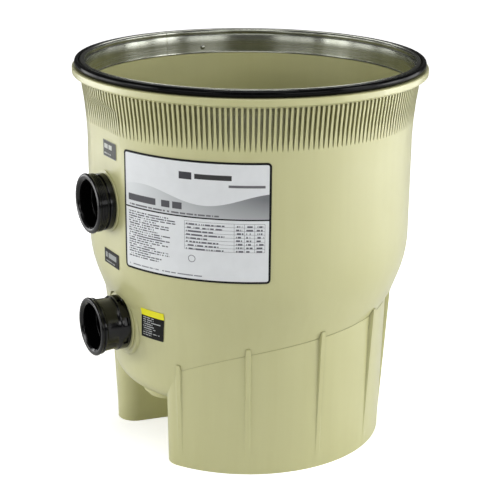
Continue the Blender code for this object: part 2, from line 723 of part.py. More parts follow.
def manifold():
    lift = bpy.data.objects.new("manifold_lift_axis", None)
    PARTS.objects.link(lift)
    elbow_axis = Matrix.Translation((0, ELBOW_Y, 0))

    base = as_part(arms("manifold_base", ARM_HALF_WIDTH, MANIFOLD_BOTTOM, MANIFOLD_SPLIT), "black_plastic")
    join(base, cone("base_neck", SOCKET_OUTER, SOCKET_OUTER, 0.2525, 0.270, matrix=elbow_axis))
    for number, azimuth in enumerate((135, 225)):
        leg = cone(f"manifold_leg_{number}", 0.009, 0.012, LEG_BOTTOM, MANIFOLD_BOTTOM + 0.001,
                   matrix=Matrix.Translation(at(azimuth, LEG_RING, 0)), segments=16)
        join(base, leg)
    inner = ARM_HALF_WIDTH - MANIFOLD_WALL
    cut(base, arms("base_hollow", inner, MANIFOLD_BOTTOM + MANIFOLD_WALL, MANIFOLD_SPLIT + 0.01))
    cut(base, cone("base_bore", 0.0345, 0.0345, 0.24, MANIFOLD_BOTTOM + 0.01, matrix=elbow_axis))

    low = MANIFOLD_SPLIT + GAP
    top = as_part(arms("manifold_top", ARM_HALF_WIDTH, low, MANIFOLD_TOP), "black_plastic")
    cut(top, arms("top_hollow", inner, low - 0.01, MANIFOLD_TOP - MANIFOLD_WALL))
    parts = [base, top]
    for number, azimuth in enumerate(SOCKET_AZIMUTHS, 1):
        place = Matrix.Translation(at(azimuth, SOCKET_RING, 0))
        hole = cone(f"socket_hole_{number}", 0.034, 0.034, 0.30, 0.33, matrix=place)
        foot = MANIFOLD_TOP - MANIFOLD_WALL - 0.001
        profile = [
            (SOCKET_BORE + 0.0030, SOCKET_TOP), (SOCKET_OUTER, SOCKET_TOP), (SOCKET_OUTER, foot),
            (SOCKET_BORE, foot), (SOCKET_BORE, 0.3415), (SOCKET_BORE + 0.0030, 0.3415),
        ]
        collar = turned(f"socket_collar_{number}", profile, None, place, RING_SEGMENTS, loop=True)
        join(cut(top, hole), collar)
        seal = ring(f"socket_o_ring_{number}", 0.0342, 0.0012, 0.3431, "black_rubber", place,
                    RING_SEGMENTS, RING_SIDES)
        parts.append(seal)
    for part in parts:
        part.parent = lift
    shade(base)
    shade(top)


def drain():
    """A screw plug from below, and the ring seal under its head."""
    axis = bpy.data.objects.new("drain_axis", None)
    PARTS.objects.link(axis)
    axis.location = (0, DRAIN_Y, 0)
    bpy.context.view_layer.update()
    top = DRAIN_FACE_Z - GAP
    profile = [
        (0, PLUG_TOP), (PLUG_RADIUS - 0.0008, PLUG_TOP), (PLUG_RADIUS, PLUG_TOP - 0.0008), (PLUG_RADIUS, top),
        (0.0264, top), (0.0264, top - 0.0026), (0.0304, top - 0.0026), (0.0304, top),
        (PLUG_HEAD_RADIUS - 0.001, top), (PLUG_HEAD_RADIUS, top - 0.001),
        (PLUG_HEAD_RADIUS, PLUG_HEAD_BOTTOM + 0.0015), (PLUG_HEAD_RADIUS - 0.0015, PLUG_HEAD_BOTTOM),
        (0, PLUG_HEAD_BOTTOM),
    ]
    plug = turned("drain_plug", profile, "cream_plastic", axis.matrix_world.copy(), PORT_SEGMENTS)
    grip = cone("plug_grip", GRIP_TIP_RADIUS, GRIP_ROOT_RADIUS, GRIP_BOTTOM, PLUG_HEAD_BOTTOM + 0.001,
                matrix=axis.matrix_world.copy(), segments=6)
    join(plug, grip)
    seal = ring("drain_plug_o_ring", 0.0284, 0.0011, top - 0.0013, "black_rubber",
                axis.matrix_world.copy(), RING_SEGMENTS, RING_SIDES)
    for part in (plug, seal):
        part.parent = axis
        part.matrix_parent_inverse = axis.matrix_world.inverted()


def label(name, azimuths, heights, look):
    """A thin sheet that follows the tank's surface."""
    columns = max(3, round((azimuths[1] - azimuths[0]) / 5))
    rows = max(2, round((heights[1] - heights[0]) / 0.021))
    mesh = bpy.data.meshes.new(name)
    bm = bmesh.new()
    bmesh.ops.create_grid(bm, x_segments=columns, y_segments=rows, size=0.5)
    for vertex in bm.verts:
        azimuth = azimuths[0] + (vertex.co.x + 0.5) * (azimuths[1] - azimuths[0])
        z = heights[0] + (vertex.co.y + 0.5) * (heights[1] - heights[0])
        vertex.co = at(azimuth, surface_radius(azimuth, z) + LABEL_LIFT, z)
    bm.to_mesh(mesh)
    bm.free()
    sheet = add(name, mesh, look)
    skin = sheet.modifiers.new("sheet", "SOLIDIFY")
    skin.thickness = LABEL_THICKNESS
    skin.offset = 1
    return sheet


def main():
    tank()
    rim_band()
    band_rivet()
    ring("tank_o_ring", SEAL_RADIUS, SEAL_SECTION, SEAL_Z, "black_rubber")
    inlet_bulkhead()
    outlet_bulkhead()
    inlet_diffuser(port_stack("inlet", INLET_Z, INLET_SEAT, INLET_INNER_FACE))
    outlet_elbow(port_stack("outlet", OUTLET_Z, OUTLET_SEAT, OUTLET_INNER_FACE))
    manifold()
    drain()
    looks = ("label_white", "label_grey", "label_black", "label_yellow")
    for (name, (azimuths, heights)), look in zip(LABELS.items(), looks):
        label(name, azimuths, heights, look)


main()
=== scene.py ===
"""Looks for the bottom tank of a four-cartridge pool filter.

Row frame, metres: +Z up, the tank's axis through the origin, both ports facing -Y.
Azimuths are in degrees, measured from -Y towards +X.
"""

import functools
import math

import bmesh
import bpy
import numpy as np
from mathutils import Matrix, Vector


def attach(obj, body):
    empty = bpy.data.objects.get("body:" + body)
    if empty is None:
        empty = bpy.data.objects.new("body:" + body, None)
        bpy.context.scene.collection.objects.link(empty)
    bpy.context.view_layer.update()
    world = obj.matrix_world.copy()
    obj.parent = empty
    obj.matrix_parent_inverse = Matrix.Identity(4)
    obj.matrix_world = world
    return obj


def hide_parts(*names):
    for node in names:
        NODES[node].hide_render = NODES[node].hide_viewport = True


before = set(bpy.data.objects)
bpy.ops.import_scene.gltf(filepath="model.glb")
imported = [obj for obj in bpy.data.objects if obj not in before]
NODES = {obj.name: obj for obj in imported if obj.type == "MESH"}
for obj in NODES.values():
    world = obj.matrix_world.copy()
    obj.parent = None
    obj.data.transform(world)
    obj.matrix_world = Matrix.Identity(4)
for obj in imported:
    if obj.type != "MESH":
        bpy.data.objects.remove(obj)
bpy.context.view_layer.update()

# Tank surface, as (radius, height[, fillet]) corners. Below LEAN_TOP the bowl leans towards -Y.
BOWL = [(0.2470, 0.480), (0.2470, 0.297, 0.245), (0.2262, 0.240), (0.1733, 0.095, 0.055), (0, 0.086)]
NECK = [(0.2556, 0.5662), (0.2541, 0.555), (0.2506, 0.530), (0.2482, 0.503)]
RIM = [
    (0.2500, 0.5875), (0.2546, 0.5875), (0.2546, 0.5810), (0.2655, 0.5810), (0.2667, 0.5807),
    (0.2674, 0.5798), (0.2675, 0.5785), (0.2675, 0.5728), (0.2672, 0.5714), (0.2663, 0.5706),
    (0.2610, 0.5686), (0.2566, 0.5667),
]
INNER_RIM = [
    (0.2415, 0.500), (0.2428, 0.525), (0.2440, 0.545), (0.2440, 0.5530), (0.2480, 0.5530),
    (0.2480, 0.5822), (0.2500, 0.5822),
]
WALL = 0.006
BOTTOM_RADII = (0.012, 0.035, 0.065, 0.095, 0.125)
LEAN_TOP, LEAN = 0.240, 0.265

# The flat on the port side. Above the waist its edges keep to one azimuth.
FACET, WAIST = 0.2415, 0.480
FACET_COSINE = math.cos(math.radians(12.3))

# Skirt, gussets and alcove. The skirt's plan is worked out at the floor and at the height SKIRT_PLAN.
# The overlaps are how far the alcove's wall and the skirt's inner side run on into the bowl.
FOOT_RADIUS, SKIRT_FLARE, SKIRT_PLAN, SKIRT_STEPS = 0.2106, 0.022, 0.2, 22
GUSSET_AZIMUTHS = (31.8, 60.2, 90, 119, 148)
GUSSET_HALF, GUSSET_SPREAD, GUSSET_RADIUS = 0.0030, 0.0014, 0.213
GUSSET_FOOT, GUSSET_RISE, GUSSET_PROUD = 0.004, 0.011, 0.0022
LEDGE_FLARE, LEDGE_INSET, LEDGE_RISE = 0.0035, 0.0045, 0.0008
ALCOVE_MOUTH, ALCOVE_BACK = (0.064, -0.160), (0.050, -0.085)
ALCOVE_CORNER, ALCOVE_FILLET = 0.027, 0.006
ALCOVE_OVERLAP, INNER_OVERLAP = 0.004, 0.003

# Flutes. Their roots are a line of (radius, height) points.
FLUTES, FLUTE_RADIUS, FLUTE_END = 212, 0.252, 0.504
FLUTE_ROOTS = [(0.2493, 0.5565), (0.2462, 0.549), (0.2455, 0.514), (0.2482, 0.503)]

# Ports and drain. Seats, backs and mouths are distances from the tank's axis along a port, and the
# fittings stand off their seats by the spacers' thickness and a little play.
INLET_Z, OUTLET_Z, MOUTH = 0.397, 0.205, 0.273
INLET_SEAT, OUTLET_SEAT, STAND_OFF = 0.2415, 0.2212, 0.0026
INLET_BACK, OUTLET_BACK = 0.2290, 0.2060
HOLE_RADIUS, SEAT_RADIUS, THICK_RADIUS, PORT_CLEAR = 0.0342, 0.0475, 0.049, 0.26
DRAIN_Y, DRAIN_BORE, DRAIN_FACE = -0.140, 0.0245, 0.080

# Rim: the band's seam and rivet as azimuths, half its sheet's thickness, and the seal's section
SEAM, RIVET, HALF_SHEET = -86.0, -101.0, 0.0004
RIVET_RADIUS, RIVET_FACE, RIVET_EDGE = 0.0040, 0.2464, 0.0003
SEAL_CENTRE, SEAL_HALF = (0.2602, 0.5864), (0.0037, 0.0051)

# Films: the radius their widths are measured at, their two faces' heights off the tank, and half the
# size that the rating film's print is laid out for
FILM_RADIUS, FILM_BACK, FILM_FRONT = 0.2475, 0.0005, 0.0009
RATING_HALF = (0.1082, 0.0850)

# Camera, floor and world
LENS, SENSOR = 100.08, 36
CAMERA_PLACE = (1.8010, -1.0376, 0.9647)
CAMERA_AZIMUTH, CAMERA_TILT, CAMERA_ROLL = 60, 71.86, 0.516
FLOOR_HALF, WORLD_LIGHT, WORLD_SEEN = 30.0, 0.06, 1.05
LIGHT_TARGET = Vector((0, 0, 0.3))


# ---------------------------------------------------------------- shapes


def fillets(corners):
    """Points of a line through (r, z) corners. A corner's third number is its fillet radius."""
    points = [tuple(corners[0][:2])]
    for before, corner, after in zip(corners, corners[1:], corners[2:]):
        points += fillet(before, corner, after, 5.0)
    points.append(tuple(corners[-1][:2]))
    return points


def fillet(before, corner, after, step):
    """Points of one rounded corner, with a turn of at most step degrees between them."""
    middle = Vector(corner[:2])
    if len(corner) < 3:
        return [tuple(middle)]
    back = (Vector(before[:2]) - middle).normalized()
    on = (Vector(after[:2]) - middle).normalized()
    half = back.angle(on) / 2
    reach = min(corner[2] / math.tan(half), (Vector(before[:2]) - middle).length * 0.499,
                (Vector(after[:2]) - middle).length * 0.499)
    radius = reach * math.tan(half)
    centre = middle + (back + on).normalized() * radius / math.sin(half)
    first = middle + back * reach - centre
    turn = first.angle_signed(middle + on * reach - centre)
    steps = max(2, math.ceil(abs(math.degrees(turn)) / step))
    made = [centre + Matrix.Rotation(-turn * i / steps, 2) @ first for i in range(steps + 1)]
    return [tuple(point) for point in made]


def loop_fillets(corners, step=12.0):
    """The same round a closed outline."""
    points = []
    for before, corner, after in zip(corners[-1:] + corners, corners, corners[1:] + corners[:1]):
        points += fillet(before, corner, after, step)
    return points


def inset(corners, distance):
    """Corners of the line moved inwards by a wall's thickness, with parallel fillets."""
    lines = []
    for a, b in zip(corners, corners[1:]):
        along = (Vector(b[:2]) - Vector(a[:2])).normalized()
        lines.append((Vector(a[:2]) + Vector((along.y, -along.x)) * distance, along))
    moved = [tuple(lines[0][0])]
    for (point, along), (other, onward), corner in zip(lines, lines[1:], corners[1:]):
        across = along.x * onward.y - along.y * onward.x
        place = other
        if abs(across) > 1e-9:
            offset = other - point
            place = point + along * (offset.x * onward.y - offset.y * onward.x) / across
        moved.append((*place, *([corner[2] - distance] if len(corner) > 2 else [])))
    last, along = lines[-1]
    moved.append((0, last.y - along.y / along.x * last.x))
    return moved


def interpolate(line, z):
    """The radius at height z of a line whose heights fall."""
    heights = [p[1] for p in reversed(line)]
    radii = [p[0] for p in reversed(line)]
    return float(np.interp(z, heights, radii))


def smooth(x):
    """Eases from 0 to 1."""
    x = min(1.0, max(0.0, x))
    return x * x * (3 - 2 * x)


OUTER = NECK + fillets(BOWL)
INNER = fillets(inset(BOWL, WALL))


def lean(z):
    """How far the bowl's axis has moved towards -Y at this height."""
    return LEAN * max(0.0, LEAN_TOP - z)


def flat_at(z):
    """How far out the port side's flat stands. It fades out at the rim and low on the bowl."""
    flat = max(FACET, interpolate(OUTER, z) * FACET_COSINE) if z > WAIST else FACET
    return flat + 0.012 * smooth((z - 0.538) / 0.020) + 0.02 * smooth((0.262 - z) / 0.03)


def bowl_point(azimuth, radius, z, inwards=0.0):
    """A point of the leaning, flattened bowl."""
    turn = math.radians(azimuth)
    y = -radius * math.cos(turn) - lean(z)
    return Vector((radius * math.sin(turn), max(y, inwards - flat_at(z)), z))


def surface_radius(azimuth, z):
    """How far the bowl's outside stands from the tank's axis."""
    turn = math.radians(azimuth)
    radius = interpolate(OUTER, z)
    side = lean(z) * math.sin(turn)
    found = lean(z) * math.cos(turn) + math.sqrt(radius**2 - side**2)
    if math.cos(turn) > 0.5:
        found = min(found, flat_at(z) / math.cos(turn))
    return found


def at(azimuth, radius, z):
    """A point at this azimuth and this distance from the tank's axis."""
    turn = math.radians(azimuth)
    return Vector((radius * math.sin(turn), -radius * math.cos(turn), z))


def bowl_height(x, y):
    """Height of the bowl's outer surface over a point of the floor, found by halving."""
    low, high = 0.0861, 0.45
    for _ in range(30):
        middle = (low + high) / 2
        if interpolate(OUTER, middle) > math.hypot(x, y + lean(middle)):
            high = middle
        else:
            low = middle
    return low


def mesh_object(name, points, faces, smooth_angle=35.0):
    mesh = bpy.data.meshes.new(name)
    mesh.from_pydata([tuple(p) for p in points], [], faces)
    obj = bpy.data.objects.new(name, mesh)
    bpy.context.scene.collection.objects.link(obj)
    outwards(obj)
    return shade(obj, smooth_angle)


def outwards(obj):
    """Makes every face point outwards."""
    bm = bmesh.new()
    bm.from_mesh(obj.data)
    bmesh.ops.recalc_face_normals(bm, faces=bm.faces)
    bm.to_mesh(obj.data)
    bm.free()


def shade(obj, angle=35.0):
    obj.data.shade_smooth()
    obj.data.set_sharp_from_angle(angle=math.radians(angle))
    return obj


def bridge(faces, a, b):
    """Faces between two rings of vertex numbers. One count is a whole multiple of the other."""
    if len(a) < len(b):
        step = len(b) // len(a)
        for i in range(len(a)):
            far = [b[(i * step + k) % len(b)] for k in range(step, -1, -1)]
            faces.append([a[i], a[(i + 1) % len(a)], *far])
    else:
        step = len(a) // len(b)
        for i in range(len(b)):
            near = [a[(i * step + k) % len(a)] for k in range(step + 1)]
            faces.append([*near, b[(i + 1) % len(b)], b[i]])


def rings_object(name, rings, closed=True, smooth_angle=35.0):
    """A surface through rings of points. It is closed back to its first ring, or capped at both ends."""
    points, faces, numbers = [], [], []
    for ring in rings:
        numbers.append(list(range(len(points), len(points) + len(ring))))
        points += ring
    for a, b in zip(numbers, numbers[1:]):
        bridge(faces, a, b)
    if closed:
        bridge(faces, numbers[-1], numbers[0])
    else:
        faces.append(numbers[0][::-1])
        faces.append(numbers[-1])
    return mesh_object(name, points, faces, smooth_angle)


def turned_rings(line, matrix, segments):
    turn = [2 * math.pi * i / segments for i in range(segments)]
    return [[matrix @ Vector((r * math.cos(t), r * math.sin(t), z)) for t in turn] for r, z in line]


def lathe(name, outline, matrix, segments=96):
    """Turns a closed (r, z) outline about Z."""
    return rings_object(name, turned_rings(outline, matrix, segments))


def solid_lathe(name, line, matrix, segments=96):
    """Turns a line whose ends are capped flat."""
    return rings_object(name, turned_rings(line, matrix, segments), False)


def port(height):
    """Takes +Z to the outward direction of the port at this height."""
    return Matrix.Translation((0, 0, height)) @ Matrix.Rotation(math.radians(90), 4, "X")


def carve(target, operation, tool):
    """A Boolean that is applied at once and uses up its tool. Both meshes are closed."""
    modifier = target.modifiers.new("carve", "BOOLEAN")
    modifier.operation = operation
    modifier.solver = "MANIFOLD"
    modifier.object = tool
    bpy.context.view_layer.update()
    graph = bpy.context.evaluated_depsgraph_get()
    mesh = bpy.data.meshes.new_from_object(target.evaluated_get(graph))
    target.modifiers.clear()
    target.data = mesh
    bpy.data.objects.remove(tool)
    return target


def prism(name, outline, low, high, matrix):
    rings = [[matrix @ Vector((x, y, z)) for x, y in outline] for z in (low, high)]
    return rings_object(name, rings, False)


# ---------------------------------------------------------------- tank


def flute_angles(z):
    """Azimuths of the four corners of every flute: land edge, root, root, land edge."""
    fade = smooth((z - FLUTE_END) / 0.030)
    land, root = 0.0009 + 0.0012 * fade, 0.0004 + 0.0016 * fade
    pitch = 360 / FLUTES
    found = []
    for n in range(FLUTES):
        centre = (n + 0.5) * pitch
        for offset in (-land, -root, root, land):
            found.append(centre + math.degrees(offset / FLUTE_RADIUS))
    return found


def body_ring(radius, z, count=FLUTES, inwards=0.0):
    """A ring without flutes. On the inside, inwards is how far its flat stands behind the outer one."""
    pitch = 360 / count
    return [bowl_point((n + 0.3) * pitch, radius, z, inwards) for n in range(count)]


def flute_ring(z, grooved=True):
    """A ring with four points to a flute. At the flutes' two ends it isn't grooved."""
    ring = []
    land = interpolate(OUTER, z)
    root = interpolate(FLUTE_ROOTS, z) if grooved else land
    for i, azimuth in enumerate(flute_angles(z)):
        if i % 4 in (1, 2):
            ring.append(bowl_point(azimuth, root, z, land - root))
        else:
            ring.append(bowl_point(azimuth, land, z))
    return ring


def outer_rings():
    """From the top of the rim, down the outside to the middle of the bowl."""
    rings = [[at((n + 0.3) * 360 / FLUTES, r, z) for n in range(FLUTES)] for r, z in RIM]
    rings.append(flute_ring(NECK[0][1], False))
    for z in (0.5657, 0.562, 0.557, 0.551, 0.545, 0.539, 0.533, 0.527, 0.521, 0.515, 0.510, 0.507):
        rings.append(flute_ring(z))
    rings.append(flute_ring(FLUTE_END, False))
    heights = [0.500, 0.495, 0.490, 0.484]
    heights += [0.478 - 0.008 * i for i in range(17)]
    for z in heights:
        rings.append(body_ring(interpolate(OUTER, z), z))
    for r, z in OUTER[len(NECK):]:
        if z < heights[-1] and r > 0:
            rings.append(body_ring(r, z))
    for r in reversed(BOTTOM_RADII[1:]):
        rings.append(body_ring(r, bottom_height(OUTER, r), FLUTES // 2))
    rings.append(body_ring(BOTTOM_RADII[0], bottom_height(OUTER, BOTTOM_RADII[0]), FLUTES // 4))
    return rings


def bottom_height(line, r):
    """The height at radius r of the bowl's bottom, which is the part of the line below 0.12."""
    low = [p for p in line if p[1] < 0.12]
    return float(np.interp(r, [p[0] for p in reversed(low)], [p[1] for p in reversed(low)]))


def inner_rings():
    """From the middle of the bowl, up the inside to the rim."""
    rings = [body_ring(BOTTOM_RADII[0], bottom_height(INNER, BOTTOM_RADII[0]), FLUTES // 4, WALL)]
    for r in BOTTOM_RADII[1:]:
        rings.append(body_ring(r, bottom_height(INNER, r), FLUTES // 2, WALL))
    for r, z in reversed(INNER):
        if r > 0.13:
            rings.append(body_ring(r, z, FLUTES, WALL))
    for r, z in INNER_RIM:
        rings.append(body_ring(r, z, FLUTES, WALL))
    return rings


def tank_bowl():
    outer, inner = outer_rings(), inner_rings()
    points, faces, numbers = [], [], []
    for ring in outer + inner:
        numbers.append(list(range(len(points), len(points) + len(ring))))
        points += ring
    split = len(outer)
    for i, (a, b) in enumerate(zip(numbers, numbers[1:])):
        if i != split - 1:
            bridge(faces, a, b)
    faces.append(numbers[split - 1])
    faces.append(numbers[split][::-1])
    bridge(faces, numbers[-1], numbers[0])
    return mesh_object("tank", points, faces)


def alcove_side():
    """Plan of the skirt's cut-out on its +X side: corner arc, side wall, back corner, back wall.

    It starts where the arc leaves the skirt's circle, and is returned with that azimuth.
    """
    mouth, back = Vector(ALCOVE_MOUTH), Vector(ALCOVE_BACK)
    out = (mouth - back).normalized()
    normal = Vector((-out.y, out.x))
    base = mouth + normal * ALCOVE_CORNER
    reach, along = FOOT_RADIUS - ALCOVE_CORNER, base.dot(out)
    slide = -along + math.sqrt(along**2 - base.length_squared + reach**2)
    centre = base + out * slide
    first = centre.normalized() * ALCOVE_CORNER
    turn = first.angle_signed(-normal * ALCOVE_CORNER)
    arc = [centre + Matrix.Rotation(-turn * i / 10, 2) @ first for i in range(11)]
    start = arc[-1]
    wall = [start.lerp(back, i / 14) for i in range(1, 14)]
    corner = fillet(tuple(start), (*back, ALCOVE_FILLET), (0, back.y), 20)
    flat = [Vector((corner[-1][0] * (1 - i / 6), back.y)) for i in range(1, 7)]
    points = arc + wall + [Vector(p) for p in corner] + flat
    return points, math.degrees(math.atan2(centre.x, -centre.y))


def skirt_columns(start):
    """Azimuths round the skirt, closer at the gussets, with the gussets' own columns marked."""
    half = math.degrees(GUSSET_HALF / GUSSET_RADIUS)
    foot = math.degrees((GUSSET_HALF + GUSSET_SPREAD) / GUSSET_RADIUS)
    marks = []
    for middle in [*GUSSET_AZIMUTHS, *(360 - a for a in reversed(GUSSET_AZIMUTHS))]:
        marks += [(middle - foot, 0), (middle - half, middle), (middle, middle), (middle + half, middle)]
        marks.append((middle + foot, 0))
    plain = np.linspace(start, 360 - start, 220)[1:-1]
    clear = [(a, 0) for a in plain if all(abs(a - m[0]) > 0.7 for m in marks)]
    return sorted(clear + marks)


def crease_height(azimuth):
    """Where the skirt meets the bowl at this azimuth, found by halving."""
    low, high = 0.10, 0.232
    for _ in range(30):
        middle = (low + high) / 2
        if surface_radius(azimuth, middle) > FOOT_RADIUS + SKIRT_FLARE * middle:
            high = middle
        else:
            low = middle
    return low


def skirt_radius(z):
    return FOOT_RADIUS + (SKIRT_FLARE + LEDGE_FLARE) * z


def skirt_outline(z, columns, thickness=0.0):
    """Plan of the skirt at a height, as points in one order at every height.

    With a thickness it is the plan of the inner side, where the gussets don't show.
    """
    radius = skirt_radius(z)
    side, _ = alcove_side()
    # The alcove's mouth follows the skirt's flare, and its back stands upright
    grown = radius / FOOT_RADIUS - 1
    side = [Vector((p.x, p.y * (1 + grown * smooth((-p.y - 0.16) / 0.04)))) for p in side]
    left = [Vector((-p.x, p.y)) for p in side]
    arc = []
    for azimuth, gusset in columns:
        reach = radius
        if gusset and not thickness:
            reach = max(radius, gusset_radius(gusset, z))
        arc.append(at(azimuth, reach, 0).xy)
    loop = arc + left[:-1] + side[::-1]
    if not thickness:
        return loop
    plain = [at(azimuth, radius, 0).xy for azimuth, _ in columns] + left[:-1] + side[::-1]
    moved = []
    for i, p in enumerate(plain):
        along = (plain[(i + 1) % len(plain)] - plain[i - 1]).normalized()
        moved.append(p - Vector((along.y, -along.x)) * thickness)
    return moved


@functools.cache
def gusset_top(azimuth):
    """The height and radius of a gusset's upper end."""
    top = crease_height(azimuth) + GUSSET_RISE
    return top, surface_radius(azimuth, top) + GUSSET_PROUD


def gusset_radius(azimuth, z):
    """The outer edge of a gusset: a straight line from the skirt up to the bowl."""
    top, reach = gusset_top(azimuth)
    return FOOT_RADIUS + (z - GUSSET_FOOT) * (reach - FOOT_RADIUS) / (top - GUSSET_FOOT)


def tank_skirt():
    """The skirt from the floor into the bowl, with its alcove and gussets and a ledge on its top."""
    _, start = alcove_side()
    columns = skirt_columns(start)
    foot, high = skirt_outline(0.0, columns), skirt_outline(SKIRT_PLAN, columns)
    foot_in, high_in = skirt_outline(0.0, columns, WALL), skirt_outline(SKIRT_PLAN, columns, WALL)
    tops, tops_in = [], []
    for i in range(len(foot)):
        gusset = columns[i][1] if i < len(columns) else 0
        if gusset:
            tops.append(gusset_top(gusset)[0])
        elif i < len(columns):
            tops.append(crease_height(columns[i][0]))
        else:
            tops.append(bowl_height(*high[i]) + ALCOVE_OVERLAP)
        tops_in.append(bowl_height(*high_in[i]) + INNER_OVERLAP)
    levels = [i / SKIRT_STEPS for i in range(SKIRT_STEPS + 1)]
    rings = [skirt_ring(columns, tops, level, foot, high) for level in levels]
    ledge = []
    for p in rings[-1]:
        outward = Vector((p.x, p.y, 0)).normalized()
        ledge.append(p - outward * LEDGE_INSET + Vector((0, 0, LEDGE_RISE)))
    rings.append(ledge)
    for level in reversed(levels[::2]):
        rings.append([
            Vector((*a.lerp(b, level * top / SKIRT_PLAN), level * top))
            for a, b, top in zip(foot_in, high_in, tops_in)
        ])
    return rings_object("skirt", rings)


def skirt_ring(columns, tops, level, foot, high):
    """The outer side at one share of every column's height."""
    ring = []
    for i, (a, b, top) in enumerate(zip(foot, high, tops)):
        z = level * top
        gusset = columns[i][1] if i < len(columns) else 0
        if gusset:
            radius = max(skirt_radius(z), gusset_radius(gusset, z))
            ring.append(at(columns[i][0], radius, z))
        else:
            ring.append(Vector((*a.lerp(b, z / SKIRT_PLAN), z)))
    return ring


def outlet_pad():
    """A round boss that brings a flat face to the outlet."""
    line = [(0.0560, 0.1950), (0.0530, 0.2120), (0.0516, 0.2196), (0.0510, 0.2207), (0.0498, OUTLET_SEAT)]
    return solid_lathe("pad", line, port(OUTLET_Z))


def plug_of(radius, low, high, matrix, segments=96):
    """A plain cylinder for carving, which few segments turn into a prism."""
    return solid_lathe("tool", [(radius, low), (radius, high)], matrix, segments)


def tank_shell():
    body = tank_bowl()
    carve(body, "UNION", tank_skirt())
    carve(body, "UNION", outlet_pad())
    drain = Matrix.Translation((0, DRAIN_Y, 0))
    boss = [(0.0400, DRAIN_FACE), (0.0410, DRAIN_FACE + 0.001), (0.0430, 0.0985)]
    carve(body, "UNION", solid_lathe("boss", boss, drain))
    for height, back, front in ((INLET_Z, INLET_BACK, 0.2390), (OUTLET_Z, OUTLET_BACK, 0.2185)):
        carve(body, "UNION", plug_of(THICK_RADIUS, back, front, port(height)))
    carve(body, "DIFFERENCE", plug_of(SEAT_RADIUS, OUTLET_SEAT, PORT_CLEAR, port(OUTLET_Z)))
    for height, back in ((INLET_Z, INLET_BACK), (OUTLET_Z, OUTLET_BACK)):
        carve(body, "DIFFERENCE", plug_of(HOLE_RADIUS, back - 0.02, PORT_CLEAR, port(height)))
    carve(body, "DIFFERENCE", plug_of(DRAIN_BORE, 0.07, 0.12, drain))
    return shade(body, 12)


# ---------------------------------------------------------------- rim


def band_outline():
    """The band's sheet as a closed outline: a bead, and a straight wall whose foot turns inwards."""
    centre, bead = (0.2523, 0.5880), 0.0034
    middle = [(centre[0] + bead, 0.5848)]
    for i in range(13):
        turn = math.pi * i / 12
        middle.append((centre[0] + bead * math.cos(turn), centre[1] + bead * math.sin(turn)))
    middle += [(0.2490, 0.5856), (0.2494, 0.5846), (0.2493, 0.5838), (0.2484, 0.5833), (0.2475, 0.5830)]
    middle += [(0.2471, 0.5822), (0.2471, 0.5700), (0.2471, 0.5560), (0.2469, 0.5543), (0.2464, 0.5536)]
    line = [Vector(p) for p in middle]
    left, right = [], []
    for i, point in enumerate(line):
        along = (line[min(i + 1, len(line) - 1)] - line[max(i - 1, 0)]).normalized()
        side = Vector((-along.y, along.x)) * HALF_SHEET
        left.append(tuple(point + side))
        right.append(tuple(point - side))
    return left + right[::-1]


def swept_arc(name, outline, start, end, steps):
    """Sweeps a closed (r, z) outline round part of a turn, with flat ends."""
    rings = []
    for i in range(steps + 1):
        azimuth = start + (end - start) * i / steps
        rings.append([at(azimuth, r, z) for r, z in outline])
    return rings_object(name, rings, False, 40)


def rim_band():
    gap = math.degrees(HALF_SHEET / 0.247)
    return swept_arc("rim_band_steel", band_outline(), SEAM + gap, SEAM + 360 - gap, 288)


def band_rivet():
    """A shank through the band and a domed head on its inner side."""
    place = Matrix.Rotation(math.radians(RIVET), 4, "Z") @ port(0.563)
    edge = RIVET_FACE - RIVET_EDGE
    line = [(0.0015, 0.2505), (0.0015, RIVET_FACE), (0.0039, RIVET_FACE), (RIVET_RADIUS, edge)]
    for i in range(1, 7):
        turn = math.radians(90 * i / 7)
        line.append((RIVET_RADIUS * math.cos(turn), edge - 0.0018 * math.sin(turn)))
    return solid_lathe("band_rivet_head", line, place, 32)


def rim_seal():
    """The seal's section is a little taller than wide."""
    (r, z), (half_r, half_z) = SEAL_CENTRE, SEAL_HALF
    turn = [2 * math.pi * i / 28 for i in range(28)]
    outline = [(r + half_r * math.cos(t), z - half_z * math.sin(t)) for t in turn]
    return lathe("rim_seal", outline, Matrix.Identity(4), 288)


# ---------------------------------------------------------------- fittings


def inlet_bulkhead():
    """A mouth ring with fine grooves, a drum with a groove for its seal, and a plain neck."""
    seat, m = INLET_SEAT + STAND_OFF, MOUTH
    outline = [
        (0.0344, m - 0.0034, 0.0010), (0.0374, m - 0.0008, 0.0020), (0.0402, m, 0.0030),
        (0.0434, m - 0.0008, 0.0014), (0.0444, m - 0.0026, 0.0010), (0.0444, m - 0.0044, 0.0014),
        (0.0424, m - 0.0058, 0.0005), (0.0424, m - 0.0066, 0.0002),
    ]
    for start in (0.0068, 0.0092, 0.0116):
        outline += [(0.0431, m - start, 0.0003), (0.0431, m - start - 0.0012, 0.0003),
                    (0.0422, m - start - 0.0014), (0.0422, m - start - 0.0022)]
    outline += [
        (0.0430, m - 0.0140, 0.0003), (0.0430, m - 0.0154, 0.0006), (0.0396, m - 0.0162, 0.0005),
        (0.0394, m - 0.0194, 0.0005), (0.0418, m - 0.0202, 0.0006), (0.0420, m - 0.0214, 0.0006),
        (0.0420, seat + 0.0004, 0.0004), (0.0405, seat), (0.0397, seat), (0.0397, seat + 0.0032),
        (0.0353, seat + 0.0032), (0.0353, seat), (0.0335, seat), (0.0335, 0.2060, 0.0006), (0.0285, 0.2060),
        (0.0285, seat + 0.0065), (0.0336, seat + 0.0065, 0.0006), (0.0340, m - 0.0060, 0.0010),
    ]
    return lathe("inlet_fitting", loop_fillets(outline), port(INLET_Z), 128)


